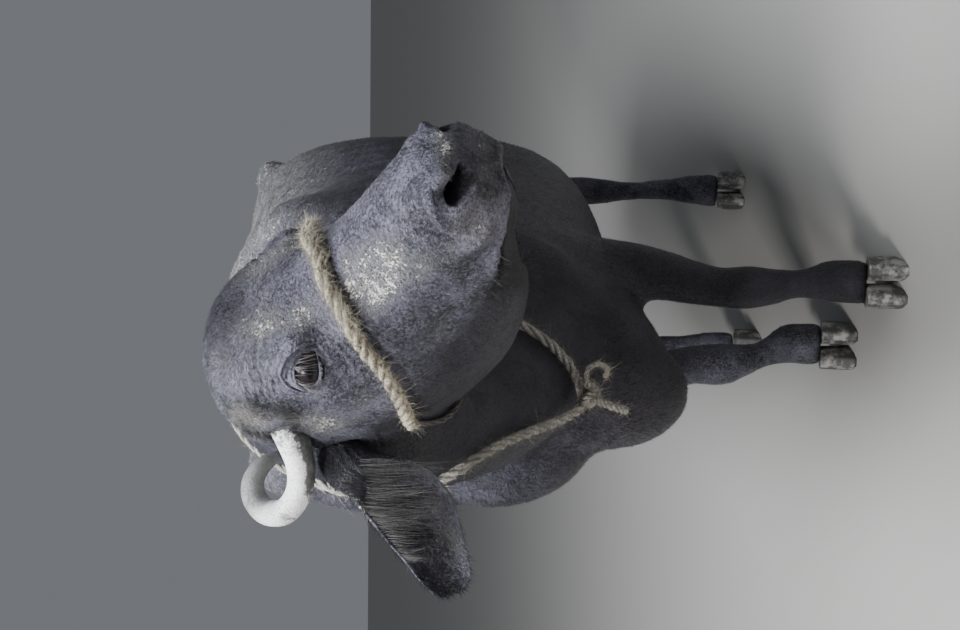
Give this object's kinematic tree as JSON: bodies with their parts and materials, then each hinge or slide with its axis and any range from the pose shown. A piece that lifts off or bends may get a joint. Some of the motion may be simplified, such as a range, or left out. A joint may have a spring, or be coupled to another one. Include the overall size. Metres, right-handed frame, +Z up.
{
  "type": "water buffalo",
  "caption": "Life-size water buffalo cow, dark slate, standing still with head turned left, curled horns, rope noseband and neck rope.",
  "frame": {"origin": "Middle of the bounding box in X and Y, on the floor the hooves stand on.", "axes": "+Z up from the floor. The animal faces -Y, +Y runs back along the spine to the tail, and +X is her left side."},
  "size_m": [0.702, 2.352, 1.2886],
  "materials": {
    "hide": "short sparse hair over matt slate skin",
    "horn": "dry, finely cracked",
    "claw": "worn, pale patches",
    "dewclaw": "worn",
    "eye": "wet gloss",
    "rope": "twisted jute, fuzzy",
    "switch": "coarse hair"
  },
  "bodies": {
    "root": {"claw_front_left_left": "claw", "claw_front_left_right": "claw", "claw_front_right_left": "claw", "claw_front_right_right": "claw", "claw_hind_left_left": "claw", "claw_hind_left_right": "claw", "claw_hind_right_left": "claw", "claw_hind_right_right": "claw", "dewclaw_front_left_left": "dewclaw", "dewclaw_front_left_right": "dewclaw", "dewclaw_front_right_left": "dewclaw", "dewclaw_front_right_right": "dewclaw", "dewclaw_hind_left_left": "dewclaw", "dewclaw_hind_left_right": "dewclaw", "dewclaw_hind_right_left": "dewclaw", "dewclaw_hind_right_right": "dewclaw", "ear_left": "hide", "ear_right": "hide", "eye_left": "eye", "eye_right": "eye", "head": "hide", "horn_left": "horn", "horn_right": "horn", "leg_front_left": "hide", "leg_front_right": "hide", "leg_hind_left": "hide", "leg_hind_right": "hide", "neck": "hide", "rope_collar": "rope", "rope_noseband": "rope", "tail": "hide", "tail_switch": "switch", "torso": "hide"}
  },
  "joints": []
}
